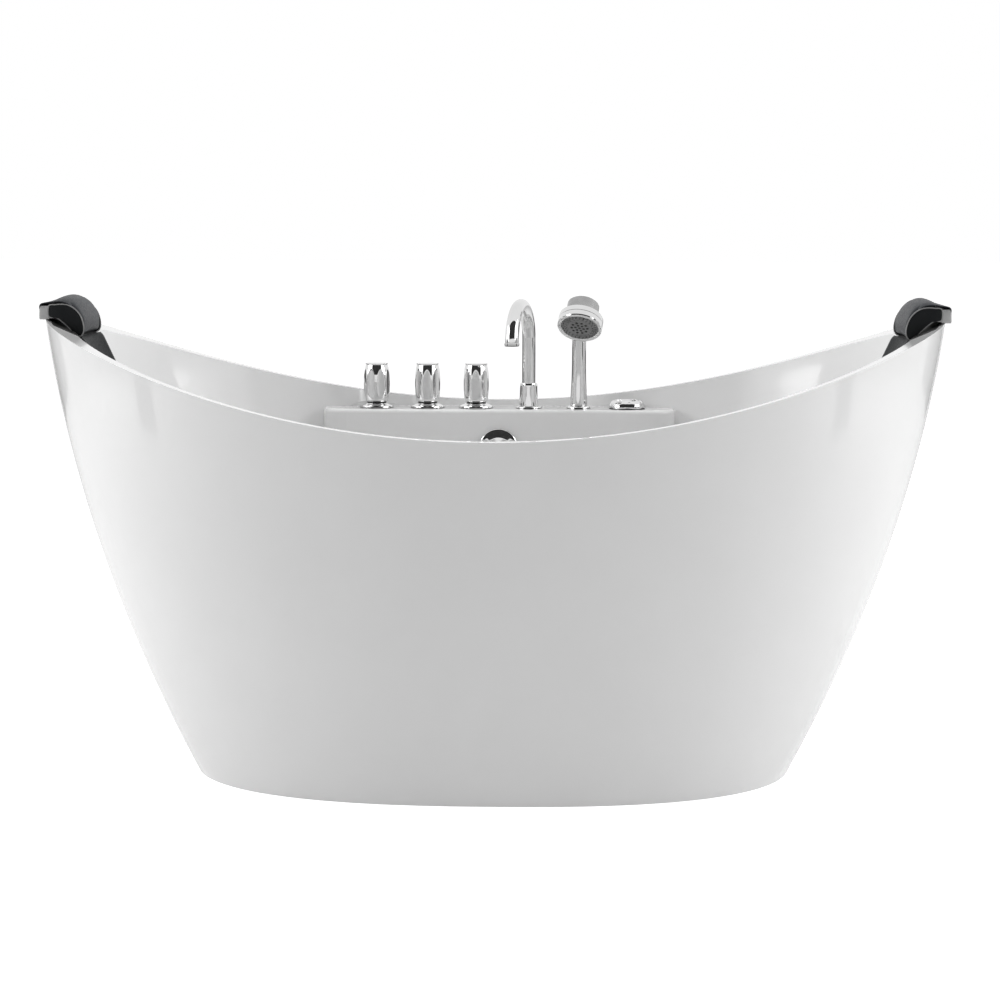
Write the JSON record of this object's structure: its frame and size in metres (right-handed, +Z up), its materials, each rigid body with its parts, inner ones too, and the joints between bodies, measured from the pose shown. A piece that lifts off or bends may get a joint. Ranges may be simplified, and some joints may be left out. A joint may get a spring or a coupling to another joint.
{
  "type": "jetted bathtub",
  "caption": "Freestanding double-ended jetted bath with swept rim, deck-mounted taps, swan-neck spout, hand shower, air control and cushioned head rests.",
  "frame": {"origin": "on the floor under the middle of the tub, the centre of the bounding box's bottom", "axes": "+X along the tub's length, +Y to the tap deck at the back, +Z up"},
  "size_m": [1.5062, 0.7998, 0.7918],
  "materials": {
    "acrylic": "polished sanitary acrylic",
    "chrome": "polished chrome plate",
    "brass": "cast and turned",
    "pipework": "drawn tube",
    "zinc_steel": "zinc plated",
    "frame_paint": "powder coat",
    "white_pipe": "moulded",
    "board": "plywood",
    "clear_hose": "soft hose",
    "nozzle_grey": "silicone nozzles",
    "pump_black": "glass filled",
    "motor_paint": "ribbed motor shell",
    "nozzle_white": "polished",
    "cushion": "skinned soft foam with a leather grain",
    "pad": "smooth soft pad",
    "cap_silver": "silver lacquer"
  },
  "bodies": {
    "tub": {"air_control_body": "white_pipe", "air_manifold": "clear_hose", "base_board": "board", "bracket_screws": "zinc_steel", "deck_lock_nuts": "brass", "diverter_body": "brass", "drain_body": "chrome", "foot_lock_nuts": "zinc_steel", "inner_basin": "acrylic", "jet_housings": "white_pipe", "mixing_pipes": "pipework", "outer_skirt": "acrylic", "overflow_body": "white_pipe", "overflow_pipe": "white_pipe", "pump_motor": "motor_paint", "pump_shelf": "frame_paint", "pump_volute": "pump_black", "shower_socket": "chrome", "skirt_brackets": "frame_paint", "spout_base": "chrome", "stopper_cable": "zinc_steel", "suction_fitting": "white_pipe", "suction_pipe": "white_pipe", "support_frame": "frame_paint", "valve_body_cold": "brass", "valve_body_hot": "brass", "valve_escutcheons": "chrome", "waste_outlet": "white_pipe", "water_manifold": "white_pipe"},
    "hot_tap": {"knob_hot": "chrome", "spindle_hot": "brass"},
    "cold_tap": {"knob_cold": "chrome", "spindle_cold": "brass"},
    "diverter_tap": {"knob_diverter": "chrome", "spindle_diverter": "brass"},
    "spout": {"spout_tube": "chrome", "spout_aerator": "chrome"},
    "hand_shower": {"hand_shower_body": "chrome"},
    "spray_head": {"spray_selector": "chrome", "spray_plate": "nozzle_grey"},
    "air_knob": {"air_control_knob": "chrome"},
    "waste_control": {"overflow_cap": "chrome"},
    "stopper": {"drain_stopper": "chrome"},
    "impeller": {"pump_impeller": "pump_black"},
    "head_rest_left": {"pillow_left": "cushion", "pillow_bracket_left": "cap_silver", "pillow_pad_left": "pad"},
    "head_rest_right": {"pillow_right": "cushion", "pillow_bracket_right": "cap_silver", "pillow_pad_right": "pad"},
    "foot_front_left": {"levelling_foot_front_left": "zinc_steel"},
    "foot_front_right": {"levelling_foot_front_right": "zinc_steel"},
    "foot_back_left": {"levelling_foot_back_left": "zinc_steel"},
    "foot_back_right": {"levelling_foot_back_right": "zinc_steel"},
    "nozzle_1": {"jet_nozzle_1": "nozzle_white"},
    "nozzle_2": {"jet_nozzle_2": "nozzle_white"},
    "nozzle_3": {"jet_nozzle_3": "nozzle_white"},
    "nozzle_4": {"jet_nozzle_4": "nozzle_white"},
    "nozzle_5": {"jet_nozzle_5": "nozzle_white"},
    "nozzle_6": {"jet_nozzle_6": "nozzle_white"}
  },
  "joints": [
    {"name": "hot_turn", "type": "hinge", "parent": "tub", "child": "hot_tap", "pos_m": [-0.223, 0.325, 0.6135], "axis": [0, 0, 1], "range_deg": [0, 90]},
    {"name": "cold_turn", "type": "hinge", "parent": "tub", "child": "cold_tap", "pos_m": [-0.1305, 0.325, 0.6135], "axis": [0, 0, 1], "range_deg": [0, 90]},
    {"name": "diverter_turn", "type": "hinge", "parent": "tub", "child": "diverter_tap", "pos_m": [-0.042, 0.325, 0.6135], "axis": [0, 0, 1], "range_deg": [0, 90]},
    {"name": "spout_swivel", "type": "hinge", "parent": "tub", "child": "spout", "pos_m": [0.0535, 0.325, 0.6335], "axis": [0, 0, 1], "range_deg": [-45, 35]},
    {"name": "hand_shower_lift", "type": "slide", "parent": "tub", "child": "hand_shower", "axis": [0, 0, 1], "range_m": [0, 0.25]},
    {"name": "spray_select", "type": "hinge", "parent": "hand_shower", "child": "spray_head", "pos_m": [0.1445, 0.285, 0.72], "axis": [-0.1364, -0.6417, -0.7547], "range_deg": [-30, 30]},
    {"name": "air_knob_turn", "type": "hinge", "parent": "tub", "child": "air_knob", "pos_m": [0.233, 0.325, 0.5815], "axis": [0, 0, 1], "range_deg": [0, 180]},
    {"name": "waste_cap_turn", "type": "hinge", "parent": "tub", "child": "waste_control", "pos_m": [0, 0.272, 0.505], "axis": [0, -1, 0], "range_deg": [0, 90]},
    {"name": "stopper_lift", "type": "slide", "parent": "tub", "child": "stopper", "axis": [0, 0, 1], "range_m": [0, 0.01]},
    {"name": "impeller_spin", "type": "hinge", "parent": "tub", "child": "impeller", "pos_m": [0.452, -0.108, 0.086], "axis": [0, 1, 0], "continuous": true},
    {"name": "head_rest_left_lift", "type": "slide", "parent": "tub", "child": "head_rest_left", "axis": [0, 0, 1], "range_m": [0, 0.1]},
    {"name": "head_rest_right_lift", "type": "slide", "parent": "tub", "child": "head_rest_right", "axis": [0, 0, 1], "range_m": [0, 0.1]},
    {"name": "foot_front_left_screw", "type": "slide", "parent": "tub", "child": "foot_front_left", "axis": [0, 0, -1], "range_m": [0, 0.012]},
    {"name": "foot_front_right_screw", "type": "slide", "parent": "tub", "child": "foot_front_right", "axis": [0, 0, -1], "range_m": [0, 0.012]},
    {"name": "foot_back_left_screw", "type": "slide", "parent": "tub", "child": "foot_back_left", "axis": [0, 0, -1], "range_m": [0, 0.012]},
    {"name": "foot_back_right_screw", "type": "slide", "parent": "tub", "child": "foot_back_right", "axis": [0, 0, -1], "range_m": [0, 0.012]},
    {"name": "nozzle_1_turn", "type": "hinge", "parent": "tub", "child": "nozzle_1", "pos_m": [-0.14989, -0.29703, 0.3503], "axis": [0.1089, 0.9463, 0.3045], "range_deg": [0, 90]},
    {"name": "nozzle_2_turn", "type": "hinge", "parent": "tub", "child": "nozzle_2", "pos_m": [-0.15, 0.281, 0.336], "axis": [0, -1, 0], "range_deg": [0, 90]},
    {"name": "nozzle_3_turn", "type": "hinge", "parent": "tub", "child": "nozzle_3", "pos_m": [0.14989, -0.29703, 0.3503], "axis": [-0.1089, 0.9463, 0.3045], "range_deg": [0, 90]},
    {"name": "nozzle_4_turn", "type": "hinge", "parent": "tub", "child": "nozzle_4", "pos_m": [0.15, 0.281, 0.336], "axis": [0, -1, 0], "range_deg": [0, 90]},
    {"name": "nozzle_5_turn", "type": "hinge", "parent": "tub", "child": "nozzle_5", "pos_m": [-0.52047, 0, 0.35042], "axis": [0.9082, 0, 0.4185], "range_deg": [0, 90]},
    {"name": "nozzle_6_turn", "type": "hinge", "parent": "tub", "child": "nozzle_6", "pos_m": [0.52047, 0, 0.35042], "axis": [-0.9082, 0, 0.4185], "range_deg": [0, 90]}
  ],
  "couplings": [
    {"joint": "stopper_lift", "follows": "waste_cap_turn", "m_per_rad": 0.0063}
  ]
}
